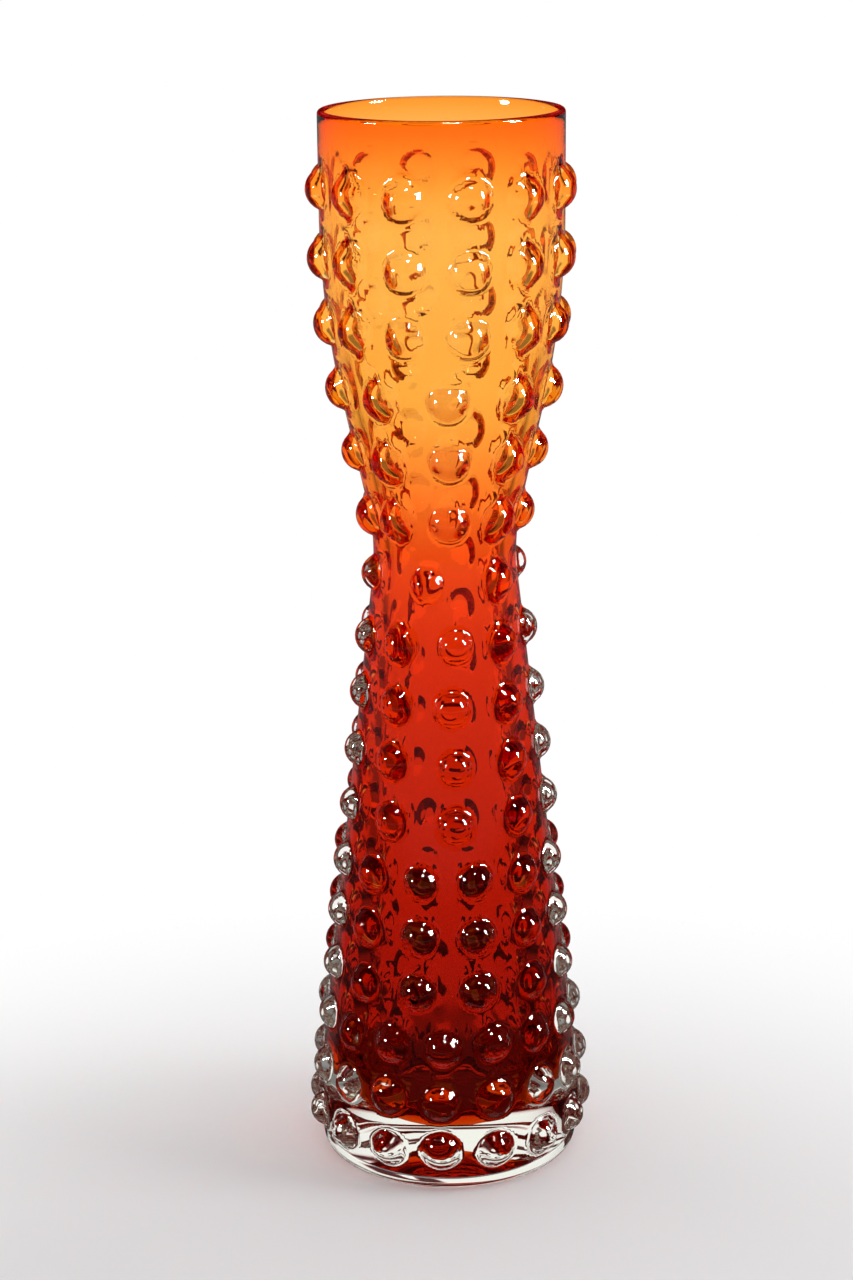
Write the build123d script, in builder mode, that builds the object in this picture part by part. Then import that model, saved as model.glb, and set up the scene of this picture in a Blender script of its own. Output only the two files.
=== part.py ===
from build123d import *
import math
import os

# Hobnail glass vase: a waisted blown vessel of two layers of glass fused together.
# Sizes are in millimetres. The origin is the middle of the resting face and +Z is up.
# The vessel faces -Y, and a turn is counted in degrees from there towards +X.

# Outline of the clear casing: corners on its side, and the large rounds that soften them
vase_height = 300.0
mouth_radius = 33.1
shoulder_height = 246.5
waist_radius = 19.1
waist_height = 182.0
hip_radius = 38.4
hip_height = 14.0
foot_radius = 36.6
shoulder_round = 240.0
waist_round = 62.0
hip_round = 35.0
foot_round = 3.5
lip_round = 1.0

# Clear glass outside the colour, measured level, from the rim down to the floor
casing_at_rim = 1.1
casing_at_shoulder = 1.8
casing_at_waist = 2.3
casing_at_hip = 10.5
casing_floor = 11.0
core_corner_round = 18.0

# Coloured glass round the bore, from the rim down to the floor
lining_at_rim = 1.1
lining_wall = 2.1
lining_floor = 3.5
bore_corner_round = 16.0

# Hobnail: a low dome of flat facets, with steep sides up to a brow and a shallow crown
hobnail_sides = 8
hobnail_diameter = 12.6
brow_diameter = 9.6
crown_diameter = 4.2
brow_rise = 2.3
hobnail_rise = 3.6
hobnail_root = 2.0

# Rows of hobnails from the foot up, and the plain band of wall above the highest
lowest_row_height = 12.7
lowest_row_gap = 15.2
plain_band = 20.5

# Bands of like rows from the foot up: rows in a band, hobnails in a row, the turn of one hobnail
row_counts = [3, 3, 4, 1, 3, 3]
hobnail_counts = [15, 12, 9, 6, 9, 12]
turn_angles = [-3.6, 15.0, 5.1, -14.7, 3.1, 12.4]

# Angles of a whole turn and of the vessel's face, in degrees
full_turn = 360
face_angle = -90

# The most of a straight side that a round may take, and how finely a height is looked up on it
round_share = 0.49
look_up_share = 0.000001

side_corners = [
    (foot_radius, 0),
    (hip_radius, hip_height),
    (waist_radius, waist_height),
    (mouth_radius, shoulder_height),
    (mouth_radius, vase_height),
]
side_rounds = [hip_round, waist_round, shoulder_round]


def rounds_that_fit(corners, radii):
    """The rounds for the inner corners of a run, each limited by the straight sides beside it."""
    fitted = []
    for before, corner, after, radius in zip(corners, corners[1:], corners[2:], radii):
        back = Vector(*before) - Vector(*corner)
        onward = Vector(*after) - Vector(*corner)
        half_turn = (math.pi - math.radians(back.get_angle(onward))) / 2
        room = round_share * min(back.length, onward.length) / math.tan(half_turn)
        fitted.append(min(radius, room))
    return fitted


def hollow_corners(at_hip, at_waist, at_shoulder, at_rim, floor):
    """Corners of a hollow from its floor to the rim, at the given depths in from the side."""
    return [
        (0, floor),
        (hip_radius - at_hip, floor),
        (waist_radius - at_waist, waist_height),
        (mouth_radius - at_shoulder, shoulder_height),
        (mouth_radius - at_rim, vase_height),
    ]


def hollow_face(corners, corner_round):
    """Half section of a hollow, closed along the axis and across the mouth."""
    rounds = rounds_that_fit(corners, [corner_round, waist_round, shoulder_round])
    with BuildSketch(Plane.XZ) as section:
        with BuildLine():
            inner_side = FilletPolyline(*corners, radius=rounds)
            Polyline(inner_side @ 1, (0, vase_height), inner_side @ 0)
        make_face()
    return section.sketch


def row_heights():
    """Heights of the rows of hobnails, whose gaps change evenly from the lowest up."""
    gaps = sum(row_counts) - 1
    rise_of_rows = vase_height - plain_band - lowest_row_height
    growth = (rise_of_rows - lowest_row_gap * gaps) / sum(range(gaps))
    heights = [lowest_row_height]
    for step in range(gaps):
        heights.append(heights[-1] + lowest_row_gap + growth * step)
    return heights


def hobnail_dome():
    """Dome of one hobnail, standing on the plane of the wall and rooted below it."""
    corner_to_flat = math.cos(math.pi / hobnail_sides)
    side_slope = (hobnail_diameter - brow_diameter) / 2 / brow_rise
    crown_slope = (brow_diameter - crown_diameter) / 2 / (hobnail_rise - brow_rise)
    root_radius = hobnail_diameter / 2 + hobnail_root * side_slope
    with BuildPart() as dome:
        with BuildSketch(Plane.XY.offset(-hobnail_root)):
            RegularPolygon(root_radius, hobnail_sides)
        extrude(
            amount=hobnail_root + brow_rise,
            taper=math.degrees(math.atan(side_slope * corner_to_flat)),
        )
        extrude(
            dome.faces().sort_by(Axis.Z)[-1],
            amount=hobnail_rise - brow_rise,
            taper=math.degrees(math.atan(crown_slope * corner_to_flat)),
        )
    return dome.part


def hobnail_place(wall, height, turn):
    """Where a hobnail stands on the wall at that height, its axis square to the wall."""
    low, high = 0.0, 1.0
    while high - low > look_up_share:
        middle = (low + high) / 2
        if (wall @ middle).Y < height:
            low = middle
        else:
            high = middle
    surface = wall @ low
    along = wall % low
    outward = Vector(along.Y, 0, -along.X)
    foot = Vector(surface.X, 0, surface.Y)
    upright = Location(Plane(origin=foot, x_dir=(0, 1, 0), z_dir=outward))
    return Location((0, 0, 0), (0, 0, face_angle + turn)) * upright


# The casing's side in section, on which the hobnails are set out
with BuildLine() as side:
    FilletPolyline(*side_corners, radius=rounds_that_fit(side_corners, side_rounds))

wall = side.wire()
hobnail_places = []
heights = iter(row_heights())
for rows, hobnails, first_turn in zip(row_counts, hobnail_counts, turn_angles):
    for row in range(rows):
        height = next(heights)
        for number in range(hobnails):
            turn = first_turn + number * full_turn / hobnails
            hobnail_places.append(hobnail_place(wall, height, turn))

# Both hollows are cut from the same depths, so the two layers of glass share one surface
core_face = hollow_face(
    hollow_corners(casing_at_hip, casing_at_waist, casing_at_shoulder, casing_at_rim, casing_floor),
    core_corner_round,
)
bore_face = hollow_face(
    hollow_corners(
        casing_at_hip + lining_wall,
        casing_at_waist + lining_wall,
        casing_at_shoulder + lining_wall,
        casing_at_rim + lining_at_rim,
        casing_floor + lining_floor,
    ),
    bore_corner_round,
)

# Clear casing: turned outline with its hobnails, hollow for the coloured lining
with BuildPart() as clear_casing:
    with BuildSketch(Plane.XZ):
        with BuildLine():
            outline_corners = [(0, 0), *side_corners, (0, vase_height)]
            outline_rounds = [foot_round, *side_rounds, lip_round]
            outline = FilletPolyline(
                *outline_corners,
                radius=rounds_that_fit(outline_corners, outline_rounds),
            )
            Line(outline @ 1, outline @ 0)
        make_face()
    revolve(axis=Axis.Z)
    with Locations(*hobnail_places):
        add(hobnail_dome())
    add(core_face)
    revolve(axis=Axis.Z, mode=Mode.SUBTRACT)

# Coloured lining: the core of coloured glass, hollow for its bore, with a rounded lip
with BuildPart() as colour_lining:
    add(core_face)
    revolve(axis=Axis.Z)
    add(bore_face)
    revolve(axis=Axis.Z, mode=Mode.SUBTRACT)
    lip_edges = colour_lining.edges().filter_by(GeomType.CIRCLE).group_by(Axis.Z)[-1]
    fillet(lip_edges.sort_by(SortBy.RADIUS)[0], lip_round)

os.makedirs("parts", exist_ok=True)
clear_casing.part.label = "clear_casing"
export_step(clear_casing.part, "parts/clear_casing.step")
colour_lining.part.label = "colour_lining"
export_step(colour_lining.part, "parts/colour_lining.step")
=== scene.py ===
import logging
import math
from collections.abc import Iterator
from dataclasses import dataclass
from enum import Enum

import bpy
import numpy as np
from mathutils import Euler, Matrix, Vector


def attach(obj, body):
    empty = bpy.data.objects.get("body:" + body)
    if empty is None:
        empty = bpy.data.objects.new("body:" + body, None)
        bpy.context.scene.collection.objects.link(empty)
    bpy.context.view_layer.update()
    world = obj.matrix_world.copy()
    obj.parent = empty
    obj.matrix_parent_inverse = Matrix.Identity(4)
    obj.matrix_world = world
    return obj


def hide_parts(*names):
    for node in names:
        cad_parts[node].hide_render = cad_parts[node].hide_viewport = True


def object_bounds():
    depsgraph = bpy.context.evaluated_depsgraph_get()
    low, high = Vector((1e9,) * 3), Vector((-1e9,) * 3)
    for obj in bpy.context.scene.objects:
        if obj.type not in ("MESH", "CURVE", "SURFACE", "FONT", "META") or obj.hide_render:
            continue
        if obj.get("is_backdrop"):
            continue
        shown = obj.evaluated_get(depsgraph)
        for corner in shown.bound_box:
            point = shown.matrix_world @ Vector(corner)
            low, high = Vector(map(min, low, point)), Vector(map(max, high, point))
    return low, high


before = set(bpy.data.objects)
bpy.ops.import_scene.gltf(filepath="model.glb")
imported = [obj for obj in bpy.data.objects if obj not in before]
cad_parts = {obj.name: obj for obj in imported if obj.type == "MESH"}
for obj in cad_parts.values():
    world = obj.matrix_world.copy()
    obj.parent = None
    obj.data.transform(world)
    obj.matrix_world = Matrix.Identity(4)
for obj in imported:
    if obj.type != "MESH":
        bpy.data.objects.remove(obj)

# Sizes are in metres. The origin is the middle of the resting face, +Z is up, and the vessel's
# face is the side towards -Y
CAD_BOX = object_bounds()
ONLY_BODY = "root"
LOG = logging.getLogger("hobnail_vase")

# Turn in degrees from +X to the vessel's face
FACE_TURN = -90.0

# Fewest steps along the arc in a corner
ARC_LEAST_STEPS = 4

# Width in metres below which a ring is a single point
SAME_POINT = 1e-7

# Places of the Mix node's sockets for colours, which share their names with other sockets
MIX_SHARE, MIX_FIRST, MIX_SECOND, MIX_RESULT = 0, 6, 7, 2

# A colour is red, green, blue and opacity, and a span is where a soft change starts and ends
Socket = bpy.types.NodeSocket
Colour = tuple[float, float, float, float]
Triple = tuple[float, float, float]
Span = tuple[float, float]

WHITE: Colour = (1.0, 1.0, 1.0, 1.0)
AXIS_FOOT: Triple = (0.0, 0.0, 0.0)


class Node(Enum):
    """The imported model's nodes."""

    CASING = "clear_casing"
    LINING = "colour_lining"


class Slot(Enum):
    """Names of the material slots."""

    CLEAR = "clear_glass"
    COLOUR = "colour_glass"


@dataclass(frozen=True)
class Corner:
    """A corner of a turned section, in metres, and the round that softens it.

    Args:
        radius: distance from the vessel's axis.
        height: height above the resting face.
        round: radius of the arc in the corner, zero for a sharp one.
    """

    radius: float
    height: float
    round: float = 0.0


class Section:
    """A run of a turned section: points with the direction that leads away from the axis."""

    def __init__(self, points: np.ndarray) -> None:
        """Keeps the points and works out the way that each one faces.

        Args:
            points: (count, 2) radii and heights, in metres.
        """
        self.points = points
        along = np.gradient(points, axis=0)
        along /= np.linalg.norm(along, axis=1, keepdims=True)
        self.facing = np.column_stack([along[:, 1], -along[:, 0]])

    @classmethod
    def rounded(cls, corners: list[Corner], spacing: float) -> "Section":
        """A run through corners, with an arc in each corner that has a round.

        Args:
            corners: the corners in order; the first and the last stay sharp.
            spacing: greatest distance between neighbouring points.

        Returns:
            The section, sampled along its straight runs and arcs.
        """
        stretches = []
        start = np.array([corners[0].radius, corners[0].height])
        for corner, following in zip(corners[1:-1], corners[2:]):
            here = np.array([corner.radius, corner.height])
            onward = np.array([following.radius, following.height]) - here
            onward /= np.linalg.norm(onward)
            inward = here - start
            inward /= np.linalg.norm(inward)
            turn = math.acos(float(np.clip(inward @ onward, -1.0, 1.0)))
            reach = corner.round * math.tan(turn / 2)
            arc_start, arc_end = here - inward * reach, here + onward * reach
            stretches.append(cls._straight(start, arc_start, spacing))
            if corner.round:
                stretches.append(cls._arc(arc_start, inward, onward, corner.round, turn, spacing))
            start = arc_end
        last = np.array([corners[-1].radius, corners[-1].height])
        stretches.append(cls._straight(start, last, spacing))
        stretches.append(last[None, :])
        return cls(np.concatenate(stretches))

    @staticmethod
    def _straight(start: np.ndarray, end: np.ndarray, spacing: float) -> np.ndarray:
        """Points along a straight run, without its end.

        Args:
            start: where the run starts.
            end: where it ends.
            spacing: greatest distance between neighbouring points.

        Returns:
            The points in order.
        """
        steps = max(1, math.ceil(float(np.linalg.norm(end - start)) / spacing))
        shares = np.arange(steps)[:, None] / steps
        return start + (end - start) * shares

    @staticmethod
    def _arc(
        start: np.ndarray,
        inward: np.ndarray,
        onward: np.ndarray,
        radius: float,
        turn: float,
        spacing: float,
    ) -> np.ndarray:
        """Points along a corner's arc, without its end.

        Args:
            start: where the arc leaves the run before the corner.
            inward: direction of the run before the corner.
            onward: direction of the run after it.
            radius: the arc's radius.
            turn: how far the run turns in the corner, in radians.
            spacing: greatest distance between neighbouring points.

        Returns:
            The points in order.
        """
        side = math.copysign(1.0, inward[0] * onward[1] - inward[1] * onward[0])
        across = side * np.array([-inward[1], inward[0]])
        steps = max(ARC_LEAST_STEPS, math.ceil(radius * turn / spacing))
        angles = np.arange(steps) / steps * turn
        forward = np.sin(angles)[:, None] * inward
        return start + radius * (forward + (1.0 - np.cos(angles))[:, None] * across)

    def radius_at(self, heights: np.ndarray | float) -> np.ndarray | float:
        """Radii at the given heights, for a run whose heights only rise."""
        return np.interp(heights, self.points[:, 1], self.points[:, 0])

    def length_at(self, heights: np.ndarray | float) -> np.ndarray | float:
        """Distance along the run up to the given heights, for a run whose heights only rise.

        Args:
            heights: one or more heights.

        Returns:
            The distance for each height.
        """
        steps = np.linalg.norm(np.diff(self.points, axis=0), axis=1)
        lengths = np.concatenate([[0.0], np.cumsum(steps)])
        return np.interp(heights, self.points[:, 1], lengths)


@dataclass(frozen=True)
class Hobnail:
    """A round knob of glass with a soft root.

    Args:
        ball_radius: radius of its round top.
        rise: how far it stands above the wall.
        root_softness: height over which it flows into the wall.
    """

    ball_radius: float
    rise: float
    root_softness: float

    @property
    def reach(self) -> float:
        """Distance from its axis by which its root has flowed into the wall."""
        return self.ball_radius + 2 * self.root_softness

    def height_over(self, distance: np.ndarray) -> np.ndarray:
        """How high the knob stands over the wall.

        Args:
            distance: distances from the knob's axis, measured on the wall.

        Returns:
            The height at each distance.
        """
        inside = np.sqrt(np.maximum(self.ball_radius**2 - distance**2, 0.0))
        beyond = np.maximum(distance - self.ball_radius, 0.0)
        cap = inside - beyond - (self.ball_radius - self.rise)
        # The higher of cap and wall, with a parabola where they meet
        blend = np.maximum(self.root_softness - np.abs(cap), 0.0)
        return np.maximum(cap, 0.0) + blend**2 / (4 * self.root_softness)


@dataclass(frozen=True)
class Band:
    """Neighbouring rows of like hobnails.

    Args:
        rows: rows in the band.
        hobnails: hobnails in each row.
        turn: turn of one hobnail from the vessel's face, in degrees.
        shape: the hobnails' shape.
    """

    rows: int
    hobnails: int
    turn: float
    shape: Hobnail


FOOT_KNOB = Hobnail(ball_radius=0.0055, rise=0.0035, root_softness=0.0011)
BODY_KNOB = Hobnail(ball_radius=0.0053, rise=0.0037, root_softness=0.0010)
BLOWN_KNOB = Hobnail(ball_radius=0.0060, rise=0.0041, root_softness=0.0011)


@dataclass
class HobnailRows:
    """The rows of hobnails on the vessel's side.

    Args:
        wall: the side that they stand on.
        lowest_height: height of the lowest row.
        lowest_gap: gap between the two lowest rows.
        highest_height: height of the highest row.
        stray: how far a hobnail usually is from its place.
        size_spread: how much its size usually differs, as a share.
        seed: the start of the row of chance numbers.
        bands: the bands of rows, from the foot up.
    """

    wall: Section
    lowest_height: float = 0.0127
    lowest_gap: float = 0.0152
    highest_height: float = 0.2795
    stray: float = 0.0003
    size_spread: float = 0.03
    seed: int = 11
    bands: tuple[Band, ...] = (
        Band(rows=3, hobnails=15, turn=-3.6, shape=FOOT_KNOB),
        Band(rows=3, hobnails=12, turn=15.0, shape=BODY_KNOB),
        Band(rows=4, hobnails=9, turn=5.1, shape=BODY_KNOB),
        Band(rows=1, hobnails=6, turn=-14.7, shape=BODY_KNOB),
        Band(rows=3, hobnails=9, turn=3.1, shape=BLOWN_KNOB),
        Band(rows=3, hobnails=12, turn=12.4, shape=BLOWN_KNOB),
    )

    def heights(self) -> list[float]:
        """Works out the rows' heights, whose gaps grow evenly from the foot up.

        Returns:
            The heights of all rows.
        """
        gaps = sum(band.rows for band in self.bands) - 1
        rise = self.highest_height - self.lowest_height
        growth = (rise - self.lowest_gap * gaps) / sum(range(gaps))
        heights = [self.lowest_height]
        for step in range(gaps):
            heights.append(heights[-1] + self.lowest_gap + growth * step)
        return heights

    def knobs(self) -> Iterator[tuple[Hobnail, float, float, float]]:
        """Every hobnail, each a little off its place as in handmade glass.

        Returns:
            Shape, height, turn in radians counted from +X, and share of its full size.
        """
        chance = np.random.default_rng(self.seed)
        heights = iter(self.heights())
        for band in self.bands:
            for _ in range(band.rows):
                height = next(heights)
                radius = float(self.wall.radius_at(height))
                first_turn = math.radians(band.turn + FACE_TURN)
                for index in range(band.hobnails):
                    turn = first_turn + 2 * math.pi * index / band.hobnails
                    aside, lift, growth = chance.normal(size=3)
                    yield (
                        band.shape,
                        height + lift * self.stray,
                        turn + aside * self.stray / radius,
                        1.0 + growth * self.size_spread,
                    )

    def relief(
        self, wall_heights: np.ndarray, turns: np.ndarray, spread: float = 1.0
    ) -> np.ndarray:
        """How far the hobnails stand out of the wall.

        Args:
            wall_heights: heights on the wall, one for each ring.
            turns: angles round the axis, in radians, counted from +X.
            spread: how much wider than the hobnail its print is.

        Returns:
            (rings, turns) distances square to the wall, in metres.
        """
        relief = np.zeros((len(wall_heights), len(turns)))
        lengths = self.wall.length_at(wall_heights)
        for shape, height, turn, size in self.knobs():
            scale = spread * size
            up = lengths - self.wall.length_at(height)
            rings = np.nonzero(np.abs(up) < shape.reach * scale)[0]
            angles = (turns - turn + math.pi) % (2 * math.pi) - math.pi
            around = angles * float(self.wall.radius_at(height))
            columns = np.nonzero(np.abs(around) < shape.reach * scale)[0]
            distance = np.hypot(up[rings][:, None], around[columns][None, :]) / scale
            relief[np.ix_(rings, columns)] += shape.height_over(distance) * size
        return relief


@dataclass
class VesselForm:
    """The vessel's turned form, in metres: its side, its core of colour and its bore.

    Args:
        mouth_radius: outer radius of the upright collar.
        shoulder_height: height of the corner between collar and upper cone.
        waist_radius: radius of the corner between the two cones.
        waist_height: height of that corner.
        hip_radius: radius of the hip's corner.
        hip_height: height of the hip's corner.
        foot_radius: radius of the side at the resting face.
        shoulder_round: round between the collar and the upper cone.
        waist_round: round in the waist.
        hip_round: round in the hip.
        foot_round: round of the resting face's edge.
        kick_radius: radius of the shallow hollow under the base.
        kick_height: height of that hollow's middle.
        lip_round: round of the fire-polished rim.
        bore_lip_share: share of that round that the bore's edge has.
        casing_depths: depth of the core below the side at the hip, waist, shoulder and rim.
        casing_floor: depth of clear glass under the core.
        lining_wall: thickness of the coloured glass.
        lining_at_rim: its thickness at the rim.
        lining_floor: thickness of the coloured glass under the bore.
        core_corner_round: round of the lower corner of core and bore.
        hollow_round: round of core and bore between the collar and the upper cone.
        top: height of the rim.
    """

    mouth_radius: float = 0.0331
    shoulder_height: float = 0.2465
    waist_radius: float = 0.0191
    waist_height: float = 0.182
    hip_radius: float = 0.0384
    hip_height: float = 0.014
    foot_radius: float = 0.0366
    shoulder_round: float = 0.24
    waist_round: float = 0.062
    hip_round: float = 0.035
    foot_round: float = 0.0035
    kick_radius: float = 0.022
    kick_height: float = 0.0035
    lip_round: float = 0.00105
    bore_lip_share: float = 0.95
    casing_depths: tuple[float, float, float, float] = (0.0105, 0.0023, 0.0018, 0.001)
    casing_floor: float = 0.0095
    lining_wall: float = 0.0018
    lining_at_rim: float = 0.00105
    lining_floor: float = 0.0035
    core_corner_round: float = 0.024
    hollow_round: float = 0.2
    top: float = float(CAD_BOX[1][2])

    def side_corners(self) -> list[Corner]:
        """Lists the soft corners of the side, from the hip up.

        Returns:
            The corners of the hip, the waist and the shoulder.
        """
        return [
            Corner(self.hip_radius, self.hip_height, self.hip_round),
            Corner(self.waist_radius, self.waist_height, self.waist_round),
            Corner(self.mouth_radius, self.shoulder_height, self.shoulder_round),
        ]

    def side(self, spacing: float) -> Section:
        """The side from the resting face up to the rim, without the small rounds at its ends.

        Args:
            spacing: greatest distance between neighbouring points.

        Returns:
            The side's section.
        """
        foot = Corner(self.foot_radius, 0.0)
        rim = Corner(self.mouth_radius, self.top)
        return Section.rounded([foot, *self.side_corners(), rim], spacing)

    def skin(self, spacing: float) -> Section:
        """The outer skin from the middle of the resting face to the crown of the rim.

        Args:
            spacing: greatest distance between neighbouring points.

        Returns:
            The skin's section.
        """
        kick_round = (self.kick_radius**2 + self.kick_height**2) / (2 * self.kick_height)
        kick_turn = math.asin(self.kick_radius / kick_round)
        return Section.rounded(
            [
                Corner(0.0, self.kick_height),
                Corner(kick_round * math.tan(kick_turn / 2), self.kick_height, kick_round),
                Corner(self.kick_radius, 0.0),
                Corner(self.foot_radius, 0.0, self.foot_round),
                *self.side_corners(),
                Corner(self.mouth_radius, self.top, self.lip_round),
                Corner(self.mouth_radius - self.lip_round, self.top),
            ],
            spacing,
        )

    def hollow(
        self, depth: float, depth_at_rim: float, floor: float, lip: float, spacing: float
    ) -> Section:
        """A hollow inside the clear glass, from the middle of its floor up to the rim.

        Args:
            depth: how much deeper than the core's surface it lies.
            depth_at_rim: the same at the rim.
            floor: height of its floor.
            lip: round between its side and the crown of the rim, zero for none.
            spacing: greatest distance between neighbouring points.

        Returns:
            The hollow's section.
        """
        at_hip, at_waist, at_shoulder, at_rim = self.casing_depths
        shoulder_radius = self.mouth_radius - at_shoulder - depth
        corners = [
            Corner(0.0, floor),
            Corner(self.hip_radius - at_hip - depth, floor, self.core_corner_round),
            Corner(self.waist_radius - at_waist - depth, self.waist_height, self.waist_round),
            Corner(shoulder_radius, self.shoulder_height, self.hollow_round),
            Corner(self.mouth_radius - at_rim - depth_at_rim, self.top, lip),
        ]
        if lip:
            corners.append(Corner(self.mouth_radius - self.lip_round, self.top))
        return Section.rounded(corners, spacing)


class TurnedMesh:
    """A closed mesh of rings round the axis, each end closed in a point on the axis."""

    def __init__(self, columns: int) -> None:
        """Starts an empty mesh.

        Args:
            columns: points in each ring.
        """
        self.columns = columns
        self.turns = np.arange(columns) / columns * 2 * math.pi
        self.rings: list[np.ndarray] = []

    def add(self, section: Section, relief: np.ndarray, flip: bool = False) -> None:
        """Adds a section's rings.

        Args:
            section: the section to turn.
            relief: (rings, columns) distances away from the axis, square to the section.
            flip: True where the section is run from its end to its start.
        """
        points, facing = section.points, section.facing
        radii = points[:, :1] + facing[:, :1] * relief
        heights = points[:, 1:] + facing[:, 1:] * relief
        rings = np.stack([radii * np.cos(self.turns), radii * np.sin(self.turns), heights], axis=2)
        self.rings.extend(reversed(rings) if flip else rings)

    def object(self, name: str) -> bpy.types.Object:
        """Makes the Blender object, smooth shaded and linked to the scene.

        Args:
            name: the object's name.

        Returns:
            The new object.
        """
        first, last = self.rings[0].mean(axis=0), self.rings[-1].mean(axis=0)
        middle = [ring for ring in self.rings if np.ptp(ring[:, 0]) > SAME_POINT]
        count, columns = len(middle), self.columns
        vertices = np.concatenate([*middle, first[None, :], last[None, :]])
        low = np.arange(columns)
        high = (low + 1) % columns
        faces: list[tuple[int, ...]] = []
        for ring in range(count - 1):
            here, above = ring * columns, (ring + 1) * columns
            faces.extend(zip(here + low, here + high, above + high, above + low))
        faces.extend(zip(high, low, np.full(columns, count * columns)))
        top = (count - 1) * columns
        faces.extend(zip(top + low, top + high, np.full(columns, count * columns + 1)))
        mesh = bpy.data.meshes.new(name)
        mesh.from_pydata(vertices.tolist(), [], [tuple(int(i) for i in face) for face in faces])
        mesh.validate()
        mesh.shade_smooth()
        made = bpy.data.objects.new(name, mesh)
        bpy.context.scene.collection.objects.link(made)
        return made


@dataclass(frozen=True)
class BlownSurface:
    """The small unevenness that a blown surface keeps.

    Args:
        waves: waves in a metre.
        stretch: share of them along each axis.
        wave_height: height of the waves, in metres.
        haze_patches: hazy patches in a metre.
        haze_span: values of the patches' chance at which haze starts, and is full.
        haze: roughness of the haziest patch.
    """

    waves: float = 70.0
    stretch: Triple = (1.0, 1.0, 0.45)
    wave_height: float = 0.00003
    haze_patches: float = 45.0
    haze_span: Span = (0.62, 0.8)
    haze: float = 0.006


class NodeGraph:
    """Adds small nodes to a material or a world and links them."""

    def __init__(self, owner: bpy.types.Material | bpy.types.World) -> None:
        """Opens the owner's nodes.

        Args:
            owner: the material or world.
        """
        owner.use_nodes = True
        self.nodes = owner.node_tree.nodes
        self.links = owner.node_tree.links

    def math(self, operation: str, first: Socket, second: Socket | float) -> Socket:
        """An operation on two values.

        Args:
            operation: Blender's name for it.
            first: the first value.
            second: the second value, which may be a number.

        Returns:
            The result.
        """
        node = self.nodes.new("ShaderNodeMath")
        node.operation = operation
        self.links.new(first, node.inputs[0])
        if isinstance(second, float):
            node.inputs[1].default_value = second
        else:
            self.links.new(second, node.inputs[1])
        return node.outputs["Value"]

    def vector(self, operation: str, first: Socket, second: Triple) -> bpy.types.NodeOutputs:
        """An operation on a vector and a fixed one.

        Args:
            operation: Blender's name for it.
            first: the vector.
            second: the fixed vector.

        Returns:
            The results, of which Vector or Value is the one that the operation has.
        """
        node = self.nodes.new("ShaderNodeVectorMath")
        node.operation = operation
        node.inputs[1].default_value = second
        self.links.new(first, node.inputs[0])
        return node.outputs

    def distance(self, place: Socket, point: Triple) -> Socket:
        """How far a place is from a fixed point."""
        return self.vector("DISTANCE", place, point)["Value"]

    def axes(self, vector: Socket) -> bpy.types.NodeOutputs:
        """Takes a vector apart.

        Args:
            vector: the vector.

        Returns:
            Its X, Y and Z.
        """
        node = self.nodes.new("ShaderNodeSeparateXYZ")
        self.links.new(vector, node.inputs["Vector"])
        return node.outputs

    def place(self) -> Socket:
        """The place that is shaded, on the piece's own axes."""
        return self.nodes.new("ShaderNodeTexCoord").outputs["Object"]

    def fade(self, value: Socket, span: Span, before: float, after: float) -> Socket:
        """A soft change from one value to another.

        Args:
            value: what the change goes by.
            span: its values where the change starts and ends.
            before: the result up to the start.
            after: the result from the end on.

        Returns:
            The result.
        """
        node = self.nodes.new("ShaderNodeMapRange")
        node.interpolation_type = "SMOOTHSTEP"
        names = ("From Min", "From Max", "To Min", "To Max")
        for name, number in zip(names, (*span, before, after)):
            node.inputs[name].default_value = number
        self.links.new(value, node.inputs["Value"])
        return node.outputs["Result"]

    def blend(self, share: Socket, first: Colour, second: Colour) -> Socket:
        """A colour between two colours.

        Args:
            share: how far it is from the first to the second.
            first: the colour at zero.
            second: the colour at one.

        Returns:
            The colour.
        """
        node = self.nodes.new("ShaderNodeMix")
        node.data_type = "RGBA"
        node.inputs[MIX_FIRST].default_value = first
        node.inputs[MIX_SECOND].default_value = second
        self.links.new(share, node.inputs[MIX_SHARE])
        return node.outputs[MIX_RESULT]

    def chance(self, scale: float, stretch: Triple) -> Socket:
        """A soft value round 0.5 that changes by chance over the piece.

        Args:
            scale: how many changes there are in a metre.
            stretch: share of that along each axis.

        Returns:
            The value.
        """
        mapping = self.nodes.new("ShaderNodeMapping")
        mapping.inputs["Scale"].default_value = stretch
        noise = self.nodes.new("ShaderNodeTexNoise")
        noise.inputs["Scale"].default_value = scale
        self.links.new(self.place(), mapping.inputs["Vector"])
        self.links.new(mapping.outputs["Vector"], noise.inputs["Vector"])
        return noise.outputs["Fac"]

    def uneven(self, shader: bpy.types.Node, surface: BlownSurface) -> None:
        """Gives a shader the small waves and the faint haze of a blown surface.

        Args:
            shader: the shader.
            surface: the surface that it gets.
        """
        waves = self.nodes.new("ShaderNodeBump")
        waves.inputs["Distance"].default_value = surface.wave_height
        self.links.new(self.chance(surface.waves, surface.stretch), waves.inputs["Height"])
        self.links.new(waves.outputs["Normal"], shader.inputs["Normal"])
        patches = self.chance(surface.haze_patches, (1.0, 1.0, 1.0))
        haze = self.fade(patches, surface.haze_span, 0.0, surface.haze)
        self.links.new(haze, shader.inputs["Roughness"])

    def absorb(self, colour: Colour, density: float) -> None:
        """Gives a material a colour that deepens with the way through it.

        Args:
            colour: the colour that a long way takes on.
            density: how fast it does, per metre.
        """
        depth = self.nodes.new("ShaderNodeVolumeAbsorption")
        depth.inputs["Color"].default_value = colour
        depth.inputs["Density"].default_value = density
        self.links.new(depth.outputs["Volume"], self.nodes["Material Output"].inputs["Volume"])

    def camera_ray(self) -> Socket:
        """A value of 1 for a ray straight from the camera."""
        return self.nodes.new("ShaderNodeLightPath").outputs["Is Camera Ray"]

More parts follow.
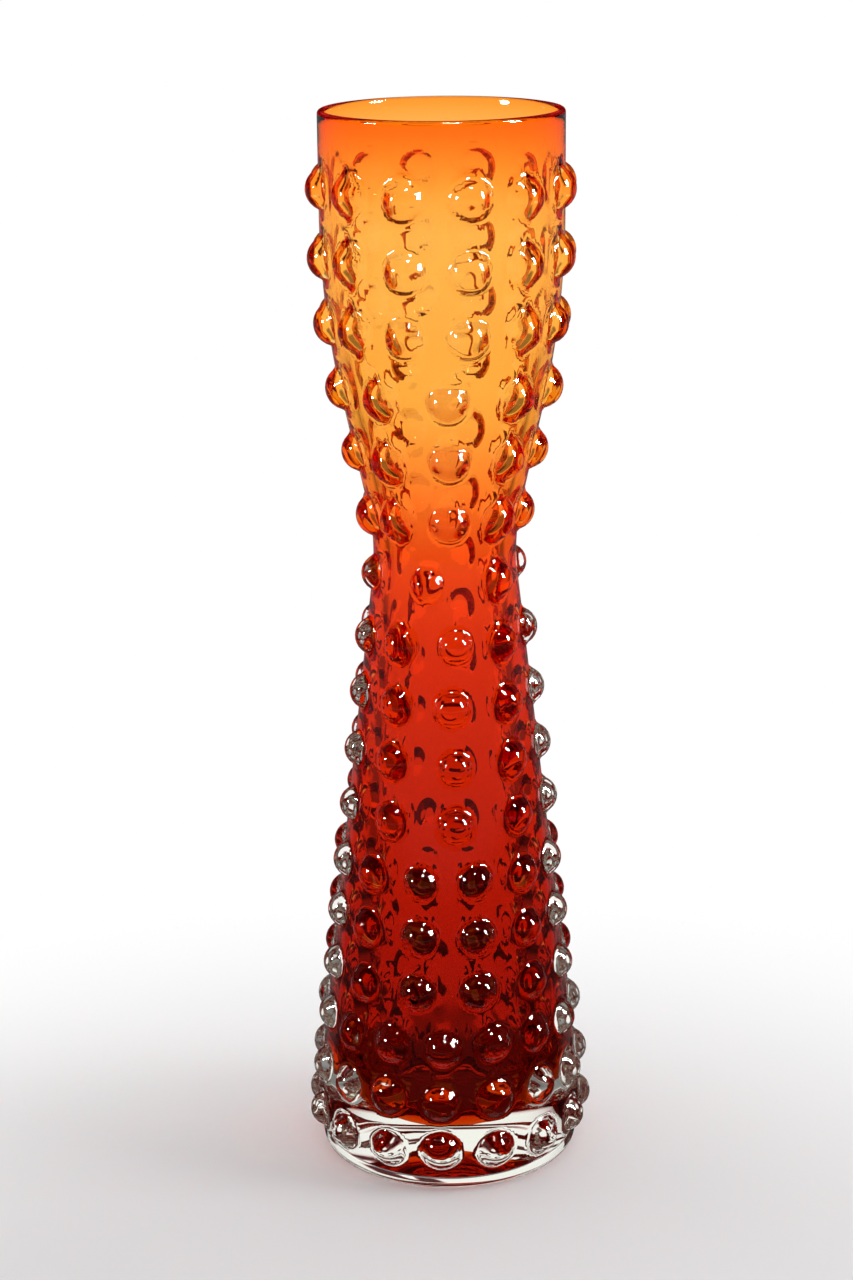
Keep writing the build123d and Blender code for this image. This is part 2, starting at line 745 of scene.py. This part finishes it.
    def glass_ray(self) -> Socket:
        """A value of 1 for a ray off a gloss or through glass."""
        path = self.nodes.new("ShaderNodeLightPath").outputs
        return self.math("MAXIMUM", path["Is Glossy Ray"], path["Is Transmission Ray"])

    def through_glass(self, in_sheen: float) -> Socket:
        """A value of 1 for a ray through glass, and the given value for a ray off its surface."""
        path = self.nodes.new("ShaderNodeLightPath").outputs
        return self.fade(path["Is Transmission Ray"], (0.0, 1.0), in_sheen, 1.0)


@dataclass(frozen=True)
class ClearGlass:
    """Clear glass with a trace of smoke in its depth.

    Args:
        index: index of refraction.
        sheen_share: share of the full reflection that a surface seen square on gives.
        smoke: colour that a long way through the glass takes on.
        density: how fast it does, per metre.
        cords: thin streaks of slightly denser glass in a metre.
        cord_stretch: share of them along each axis.
        cord_span: values of the cords' chance at which a cord starts, and is densest.
        cord_tint: colour of the densest cord.
        surface: its surface.
    """

    index: float = 1.5
    sheen_share: float = 0.8
    smoke: Colour = (0.65, 0.70, 0.10, 1.0)
    density: float = 2.0
    cords: float = 110.0
    cord_stretch: Triple = (1.0, 1.0, 0.12)
    cord_span: Span = (0.5, 0.75)
    cord_tint: Colour = (0.995, 0.995, 0.992, 1.0)
    surface: BlownSurface = BlownSurface()

    def material(self) -> bpy.types.Material:
        """Builds the material.

        Returns:
            The material.
        """
        made = bpy.data.materials.new("clear_blown_glass")
        graph = NodeGraph(made)
        shader = graph.nodes["Principled BSDF"]
        cord = graph.fade(graph.chance(self.cords, self.cord_stretch), self.cord_span, 0.0, 1.0)
        tint = graph.blend(cord, WHITE, self.cord_tint)
        graph.links.new(tint, shader.inputs["Base Color"])
        graph.uneven(shader, self.surface)
        shader.inputs["IOR"].default_value = self.index
        shader.inputs["Specular Tint"].default_value = (*[self.sheen_share] * 3, 1.0)
        shader.inputs["Transmission Weight"].default_value = 1.0
        graph.absorb(self.smoke, self.density)
        return made


@dataclass(frozen=True)
class ColouredGlass:
    """Coloured glass that shades with height, fused inside the clear glass.

    Args:
        index: index of refraction against the clear glass round it.
        stops: shares of the vessel's height, each with the colour there.
        depth_colour: colour that a long way through the glass takes on.
        depth_density: how fast it does, per metre.
        streaks: streaks of deeper colour in a metre.
        streak_stretch: share of them along each axis.
        streak_span: values of the streaks' chance at which a streak starts, and is deepest.
        streak_shade: share of its colour that the deepest streak keeps.
        surface: its surface.
    """

    index: float = 1.0
    stops: tuple[tuple[float, Triple], ...] = (
        (0.040, (0.57, 0.095, 0.080)),
        (0.120, (0.60, 0.090, 0.070)),
        (0.170, (0.62, 0.080, 0.050)),
        (0.223, (0.67, 0.095, 0.045)),
        (0.333, (0.76, 0.130, 0.050)),
        (0.500, (0.87, 0.185, 0.070)),
        (0.580, (0.96, 0.280, 0.115)),
        (0.650, (1.00, 0.490, 0.220)),
        (0.730, (1.00, 0.710, 0.380)),
        (0.900, (1.00, 0.715, 0.390)),
        (0.945, (1.00, 0.550, 0.190)),
        (1.000, (0.99, 0.313, 0.030)),
    )
    depth_colour: Colour = (0.994, 0.78, 0.0, 1.0)
    depth_density: float = 300.0
    streaks: float = 75.0
    streak_stretch: Triple = (1.0, 1.0, 0.15)
    streak_span: Span = (0.4, 0.7)
    streak_shade: float = 0.985
    surface: BlownSurface = BlownSurface()

    def material(self, top: float) -> bpy.types.Material:
        """Builds the material.

        Args:
            top: height of the rim, in metres.

        Returns:
            The material.
        """
        made = bpy.data.materials.new("shaded_colour_glass")
        graph = NodeGraph(made)
        shader = graph.nodes["Principled BSDF"]
        graph.uneven(shader, self.surface)
        shader.inputs["IOR"].default_value = self.index
        shader.inputs["Transmission Weight"].default_value = 1.0
        ramp = graph.nodes.new("ShaderNodeValToRGB")
        self._fill(ramp.color_ramp)
        share = graph.math("DIVIDE", graph.axes(graph.place())["Z"], top)
        graph.links.new(share, ramp.inputs["Fac"])
        streak = graph.chance(self.streaks, self.streak_stretch)
        shade = graph.fade(streak, self.streak_span, 1.0, self.streak_shade)
        streaked = graph.nodes.new("ShaderNodeVectorMath")
        streaked.operation = "SCALE"
        graph.links.new(ramp.outputs["Color"], streaked.inputs[0])
        graph.links.new(shade, streaked.inputs["Scale"])
        graph.links.new(streaked.outputs["Vector"], shader.inputs["Base Color"])
        graph.absorb(self.depth_colour, self.depth_density)
        return made

    def _fill(self, ramp: bpy.types.ColorRamp) -> None:
        """Gives a ramp the glass's stops.

        Args:
            ramp: the ramp.
        """
        ramp.interpolation = "LINEAR"
        # New stops may start anywhere, because all are moved to their places next
        while len(ramp.elements) < len(self.stops):
            ramp.elements.new(0.5)
        for element, (share, colour) in zip(ramp.elements, self.stops):
            element.position = share
            element.color = (*colour, 1.0)


@dataclass
class ClearCasing:
    """The vessel's glass: its outer skin with the hobnails, its rim and its bore.

    Args:
        form: the vessel's turned form.
        finish: the glass.
        columns: points round the axis.
        side_spacing: spacing of the rings on the outer skin.
        bore_spacing: spacing of the rings in the bore.
        blown_from: height where the wall starts to be blown out behind the hobnails.
        blown_full: height where it is fully blown out.
        bore_print: share of a hobnail's rise that shows on the inside there.
        least_print: the same below the blown wall.
        bore_spread: width of that print as a share of the hobnail's.
    """

    form: VesselForm
    finish: ClearGlass = ClearGlass()
    columns: int = 224
    side_spacing: float = 0.00098
    bore_spacing: float = 0.0026
    blown_from: float = 0.140
    blown_full: float = 0.188
    bore_print: float = 0.95
    least_print: float = 0.55
    bore_spread: float = 0.85

    def build(self) -> bpy.types.Object:
        """Builds the closed mesh.

        Returns:
            The new object.
        """
        mesh = TurnedMesh(self.columns)
        rows = self.rows()
        skin = self.form.skin(self.side_spacing)
        mesh.add(skin, rows.relief(skin.points[:, 1], mesh.turns))
        bore = self.bore(self.bore_spacing)
        mesh.add(bore, self.blown_print(rows, bore, mesh.turns), flip=True)
        return mesh.object("clear_casing_glass")

    def rows(self) -> HobnailRows:
        """The rows of hobnails on its side."""
        return HobnailRows(self.form.side(self.side_spacing))

    def bore(self, spacing: float) -> Section:
        """The bore, from the middle of its floor to the crown of the rim.

        Args:
            spacing: greatest distance between neighbouring points.

        Returns:
            The bore's section.
        """
        form = self.form
        floor = form.casing_floor + form.lining_floor
        lip = form.lip_round * form.bore_lip_share
        return form.hollow(form.lining_wall, form.lining_at_rim, floor, lip, spacing)

    def blown_print(self, rows: HobnailRows, section: Section, turns: np.ndarray) -> np.ndarray:
        """The hollows that hobnails leave on an inner surface, deeper where the wall is blown.

        Args:
            rows: the hobnails.
            section: the inner surface's section.
            turns: angles round the axis, in radians.

        Returns:
            (rings, turns) distances square to the section, in metres.
        """
        heights = section.points[:, 1]
        wall_gap = rows.wall.radius_at(heights) - section.points[:, 0]
        wall_heights = heights + section.facing[:, 1] * np.maximum(wall_gap, 0.0)
        rise = np.clip((heights - self.blown_from) / (self.blown_full - self.blown_from), 0, 1)
        blown = rise * rise * (3 - 2 * rise)
        share = self.least_print + (self.bore_print - self.least_print) * blown
        return rows.relief(wall_heights, turns, self.bore_spread) * share[:, None]

    def dress(self, piece: bpy.types.Object) -> None:
        """Gives the piece its glass and its place in the frame.

        Args:
            piece: the casing's object.
        """
        piece.data.materials.append(self.finish.material())
        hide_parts(Node.CASING.value)
        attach(piece, ONLY_BODY)


@dataclass
class ColourLining:
    """The coloured glass inside the clear glass, round the bore.

    Args:
        form: the vessel's turned form.
        casing: the glass that it lies in.
        finish: the coloured glass.
        columns: points round the axis.
        spacing: spacing of the rings.
        bore_clearance: clear glass between the colour and the bore.
        rim_clearance: clear glass between the colour and the crown of the rim.
    """

    form: VesselForm
    casing: ClearCasing
    finish: ColouredGlass = ColouredGlass()
    columns: int = 144
    spacing: float = 0.0018
    bore_clearance: float = 0.00008
    rim_clearance: float = 0.0004

    def build(self) -> bpy.types.Object:
        """Builds the closed mesh.

        Returns:
            The new object.
        """
        form = self.form
        mesh = TurnedMesh(self.columns)
        rows = self.casing.rows()
        core = form.hollow(0.0, 0.0, form.casing_floor, 0.0, self.spacing)
        inner = form.hollow(
            form.lining_wall - self.bore_clearance,
            form.lining_at_rim - self.bore_clearance,
            form.casing_floor + form.lining_floor - self.bore_clearance,
            0.0,
            self.spacing,
        )
        for section, flip in ((core, False), (inner, True)):
            section.points[:, 1] = np.minimum(section.points[:, 1], form.top - self.rim_clearance)
            mesh.add(section, self.casing.blown_print(rows, section, mesh.turns), flip=flip)
        return mesh.object("colour_lining_glass")

    def dress(self, piece: bpy.types.Object) -> None:
        """Gives the piece its glass and its place in the frame.

        Args:
            piece: the lining's object.
        """
        piece.data.materials.append(self.finish.material(self.form.top))
        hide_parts(Node.LINING.value)
        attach(piece, ONLY_BODY)


class LampShape(Enum):
    """Shapes of a softbox, by Blender's names."""

    ROUND = "DISK"
    OBLONG = "RECTANGLE"


@dataclass(frozen=True)
class Softbox:
    """A soft studio lamp that faces the vessel.

    Args:
        name: the lamp's name.
        shape: its outline.
        width: its width, in metres.
        height: its height, in metres.
        azimuth: where it stands, in degrees from the vessel's face towards +X.
        elevation: how high it stands, in degrees above the vessel's middle.
        distance: how far it stands from the vessel's middle.
        radiance: how bright its face is, where 1 is white.
        for_sheen: True where it gives the glass its highlights, False where it lights the paper.
    """

    name: str
    shape: LampShape
    width: float
    height: float
    azimuth: float
    elevation: float
    distance: float
    radiance: float
    for_sheen: bool

    def place(self, target: Vector) -> None:
        """Adds the lamp to the scene.

        Args:
            target: the point that it faces.
        """
        lamp = bpy.data.lights.new(self.name, "AREA")
        lamp.shape = self.shape.value
        lamp.size = self.width
        area = self.width * self.height
        if self.shape is LampShape.OBLONG:
            lamp.size_y = self.height
        else:
            # A disk's share of the square round it
            area *= math.pi / 4
        # The power of a flat lamp is its radiance times pi times its area
        lamp.energy = self.radiance * math.pi * area
        made = bpy.data.objects.new(self.name, lamp)
        made.visible_camera = False
        made.visible_diffuse = not self.for_sheen
        made.visible_glossy = self.for_sheen
        made.visible_transmission = False
        away = Euler((math.radians(-self.elevation), 0.0, math.radians(self.azimuth))).to_matrix()
        direction = away @ Vector((0.0, -1.0, 0.0))
        made.location = target + direction * self.distance
        made.rotation_euler = direction.to_track_quat("Z", "Y").to_euler()
        bpy.context.scene.collection.objects.link(made)


@dataclass(frozen=True)
class Floor:
    """The pale paper under the vessel, and what the glass shows of it.

    Args:
        size: edge of the paper.
        gap: air between the paper and the resting face.
        colour: its colour.
        roughness: its roughness.
        gloss: level of its faint gloss.
        white_middle: the point round which the paper keeps its shade.
        white_span: distances from there at which it starts to turn white, and is white.
        painted_shade_middle: middle of the painted shade round the foot, a dark patch that shows in the
            glass only.
        painted_shade_reach: how far the painted shade reaches from its middle, sideways and to the back.
        painted_shade_softness: share of that reach over which it ends.
        painted_shade_light: how bright the painted shade is.
        sweep_start: how far in front of the vessel the white paper's sides start to spread.
        sweep_ends: how far aside, for each metre back, the paper starts to end and has ended.
        least_aside: least distance aside that this is worked out with.
        least_back: least distance back that this is worked out with.
        side_light: how bright the floor beside the paper shows in the glass.
        side_depth: distance from the vessel where that floor starts to turn white, and is.
        far_light: how bright the floor shows in the glass from there on.
    """

    size: float = 12.0
    gap: float = 0.0004
    colour: Colour = (0.86, 0.855, 0.865, 1.0)
    roughness: float = 0.9
    gloss: float = 0.1
    white_middle: Triple = (0.0, -0.15, 0.0)
    white_span: Span = (0.12, 0.34)
    painted_shade_middle: Triple = (0.0, -0.04, 0.0)
    painted_shade_reach: tuple[float, float] = (0.24, 0.10)
    painted_shade_softness: float = 0.5
    painted_shade_light: float = 0.2
    sweep_start: float = 0.1
    sweep_ends: Span = (0.65, 1.0)
    least_aside: float = 0.02
    least_back: float = 0.01
    side_light: float = 0.34
    side_depth: Span = (0.45, 0.75)
    far_light: float = 1.2

    def build(self, sheen_light: float) -> None:
        """Adds the floor to the scene.

        Args:
            sheen_light: share of its light that the glass's own sheen gets.
        """
        half, low = self.size / 2, -self.gap
        corners = [(-half, -half, low), (half, -half, low), (half, half, low), (-half, half, low)]
        mesh = bpy.data.meshes.new("floor")
        mesh.from_pydata(corners, [], [(0, 1, 2, 3)])
        floor = bpy.data.objects.new("floor", mesh)
        bpy.context.scene.collection.objects.link(floor)
        floor.data.materials.append(self._paper(sheen_light))
        floor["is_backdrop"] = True

    def _paper(self, sheen_light: float) -> bpy.types.Material:
        """Builds the paper, which turns to plain white away from the vessel.

        Args:
            sheen_light: share of its light that the glass's own sheen gets.

        Returns:
            The material.
        """
        paper = bpy.data.materials.new("floor_paper")
        graph = NodeGraph(paper)
        nodes, links = graph.nodes, graph.links
        shader = nodes["Principled BSDF"]
        shader.inputs["Base Color"].default_value = self.colour
        shader.inputs["Roughness"].default_value = self.roughness
        shader.inputs["Specular IOR Level"].default_value = self.gloss
        place = graph.place()
        far = graph.fade(graph.distance(place, self.white_middle), self.white_span, 0.0, 1.0)
        seen_white = graph.math("MULTIPLY", far, graph.camera_ray())
        # Painted shade: a dark patch on the floor round the foot, seen only in the glass
        shown = graph.math("MULTIPLY", self._painted_shade(graph, place), self._sweep(graph, place))
        in_glass = graph.math("MULTIPLY", shown, graph.through_glass(sheen_light))
        white = nodes.new("ShaderNodeEmission")
        links.new(graph.math("MAXIMUM", in_glass, graph.camera_ray()), white.inputs["Strength"])
        mix = nodes.new("ShaderNodeMixShader")
        links.new(graph.math("MAXIMUM", seen_white, graph.glass_ray()), mix.inputs["Fac"])
        links.new(shader.outputs["BSDF"], mix.inputs[1])
        links.new(white.outputs["Emission"], mix.inputs[2])
        links.new(mix.outputs["Shader"], nodes["Material Output"].inputs["Surface"])
        return paper

    def _painted_shade(self, graph: NodeGraph, place: Socket) -> Socket:
        """How bright the painted shade round the foot leaves the floor in the glass, darkest beside the
        vessel.

        Args:
            graph: the floor's nodes.
            place: the place on the floor.

        Returns:
            The brightness, 1 beyond the painted shade.
        """
        sideways, back = self.painted_shade_reach
        offset = graph.vector("SUBTRACT", place, self.painted_shade_middle)["Vector"]
        scaled = graph.vector("MULTIPLY", offset, (1 / sideways, 1 / back, 0.0))["Vector"]
        span = (1 - self.painted_shade_softness / 2, 1 + self.painted_shade_softness / 2)
        return graph.fade(graph.distance(scaled, AXIS_FOOT), span, self.painted_shade_light, 1.0)

    def _sweep(self, graph: NodeGraph, place: Socket) -> Socket:
        """How bright the paper shows in the glass, with the dimmer floor on both sides of it.

        Args:
            graph: the floor's nodes.
            place: the place on the floor.

        Returns:
            The brightness, 1 on the paper.
        """
        axes = graph.axes(place)
        aside = graph.math("ABSOLUTE", axes["X"], 0.0)
        aside = graph.math("MAXIMUM", aside, self.least_aside)
        back = graph.math("ADD", axes["Y"], self.sweep_start)
        back = graph.math("MAXIMUM", back, self.least_back)
        share = graph.math("DIVIDE", aside, back)
        beside = graph.fade(share, self.sweep_ends, 1.0, self.side_light)
        away = graph.distance(place, AXIS_FOOT)
        far = graph.fade(away, self.side_depth, 0.0, self.far_light)
        return graph.math("MAXIMUM", beside, far)


@dataclass(frozen=True)
class Room:
    """White to the camera; in the glass a white table, a white screen behind and a dark room.

    Args:
        diffuse_light: how bright the surroundings light the paper.
        light: how bright the room shows in the glass.
        tint: the room's colour, next to the white of the paper.
        table_ends: heights of a direction between which the white table ends.
        screen_starts: heights between which the white screen behind the vase starts.
        screen_ends: heights between which it ends.
        screen_sides: how far back a direction points where its sides start, and are past.
    """

    diffuse_light: float = 0.72
    light: float = 0.09
    tint: Colour = (1.0, 0.25, 0.28, 1.0)
    table_ends: Span = (-0.02, 0.03)
    screen_starts: Span = (0.16, 0.24)
    screen_ends: Span = (0.6, 0.75)
    screen_sides: Span = (-0.1, 0.2)

    def build(self, sheen_light: float) -> None:
        """Makes the room the scene's world.

        Args:
            sheen_light: share of its light that the glass's own sheen gets.
        """
        world = bpy.data.worlds.new("studio")
        bpy.context.scene.world = world
        graph = NodeGraph(world)
        nodes, links = graph.nodes, graph.links
        axes = graph.axes(nodes.new("ShaderNodeTexCoord").outputs["Generated"])
        up, back = axes["Z"], axes["Y"]
        table = graph.fade(up, self.table_ends, 1.0, self.light)
        starts = graph.fade(up, self.screen_starts, 0.0, 1.0)
        ends = graph.fade(up, self.screen_ends, 1.0, 0.0)
        sides = graph.fade(back, self.screen_sides, 0.0, 1.0)
        screen = graph.math("MULTIPLY", graph.math("MULTIPLY", starts, ends), sides)
        shown = graph.math("MAXIMUM", table, screen)
        in_glass = graph.math("MULTIPLY", shown, graph.through_glass(sheen_light))
        camera_white = graph.math("MAXIMUM", in_glass, graph.camera_ray())
        strength = nodes.new("ShaderNodeMix")
        seen = graph.math("MAXIMUM", graph.camera_ray(), graph.glass_ray())
        links.new(seen, strength.inputs["Factor"])
        strength.inputs["A"].default_value = self.diffuse_light
        links.new(camera_white, strength.inputs["B"])
        links.new(strength.outputs["Result"], nodes["Background"].inputs["Strength"])
        outside = graph.fade(graph.glass_ray(), (0.0, 1.0), 1.0, 0.0)
        tint = graph.blend(graph.math("MAXIMUM", outside, in_glass), self.tint, WHITE)
        links.new(tint, nodes["Background"].inputs["Color"])


@dataclass(frozen=True)
class Camera:
    """The camera at the photograph's viewing angle.

    Args:
        back: how far it stands in front of the vessel.
        height: how high it stands.
        pitch: how far it looks down, in degrees.
        yaw: how far it looks to the left, in degrees.
        roll: how far it is rolled clockwise, in degrees.
        lens: focal length over the sensor, in millimetres.
        sensor_height: height of the sensor, in millimetres.
    """

    back: float = 0.745
    height: float = 0.377
    pitch: float = 16.77
    yaw: float = 0.412
    roll: float = 0.59
    lens: float = 77.93
    sensor_height: float = 36.0

    def build(self) -> None:
        """Adds the camera to the scene, which looks through it."""
        data = bpy.data.cameras.new("camera")
        data.sensor_fit = "VERTICAL"
        data.sensor_height = self.sensor_height
        data.lens = self.lens
        camera = bpy.data.objects.new("camera", data)
        camera.location = (0.0, -self.back, self.height)
        # Without a turn a camera looks straight down, so 90 degrees bring it level
        turn = Euler((math.radians(90.0 - self.pitch), 0.0, math.radians(self.yaw)))
        roll = Euler((0.0, 0.0, math.radians(-self.roll)))
        camera.rotation_euler = (turn.to_matrix() @ roll.to_matrix()).to_euler()
        bpy.context.scene.collection.objects.link(camera)
        bpy.context.scene.camera = camera


@dataclass(frozen=True)
class Studio:
    """Floor, surroundings, lamps and camera.

    Args:
        bounces: how many times light may turn on its way through the glass.
        sheen_light: share of their light that floor and room give to the glass's own sheen.
        floor: the paper under the vessel.
        room: what surrounds it.
        camera: the camera.
        lamps: the softboxes.
    """

    bounces: int = 40
    sheen_light: float = 0.13
    floor: Floor = Floor()
    room: Room = Room()
    camera: Camera = Camera()
    lamps: tuple[Softbox, ...] = (
        Softbox("right_softbox", LampShape.OBLONG, 0.30, 0.58, 72.0, 26.0, 1.2, 85.0, True),
        Softbox("top_softbox", LampShape.ROUND, 0.24, 0.24, 15.0, 66.0, 1.2, 85.0, True),
        Softbox("left_softbox", LampShape.ROUND, 0.26, 0.26, -68.0, 16.0, 1.2, 85.0, True),
        Softbox("right_fill", LampShape.OBLONG, 0.5, 0.6, 80.0, 24.0, 1.2, 5.0, False),
    )

    def build(self) -> None:
        """Adds everything to the scene."""
        scene = bpy.context.scene
        scene.view_settings.view_transform = "Standard"
        scene.cycles.max_bounces = self.bounces
        scene.cycles.glossy_bounces = self.bounces
        scene.cycles.transmission_bounces = self.bounces
        self.floor.build(self.sheen_light)
        self.room.build(self.sheen_light)
        middle = Vector((0.0, 0.0, float(CAD_BOX[1][2]) / 2))
        for lamp in self.lamps:
            lamp.place(middle)
        self.camera.build()


def write_sizes() -> None:
    """Works out the CAD box and the visual model's box; nothing is written."""
    boxes = [[[float(value) for value in corner] for corner in box] for box in (CAD_BOX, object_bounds())]


def main() -> None:
    """Builds the vase and its studio."""
    logging.basicConfig(level=logging.INFO, format="%(name)s: %(message)s")
    form = VesselForm()
    casing = ClearCasing(form)
    lining = ColourLining(form, casing)
    for part in (casing, lining):
        piece = part.build()
        part.dress(piece)
        LOG.info("%s: %d faces", piece.name, len(piece.data.polygons))
    Studio().build()
    write_sizes()


if __name__ == "__main__":
    main()
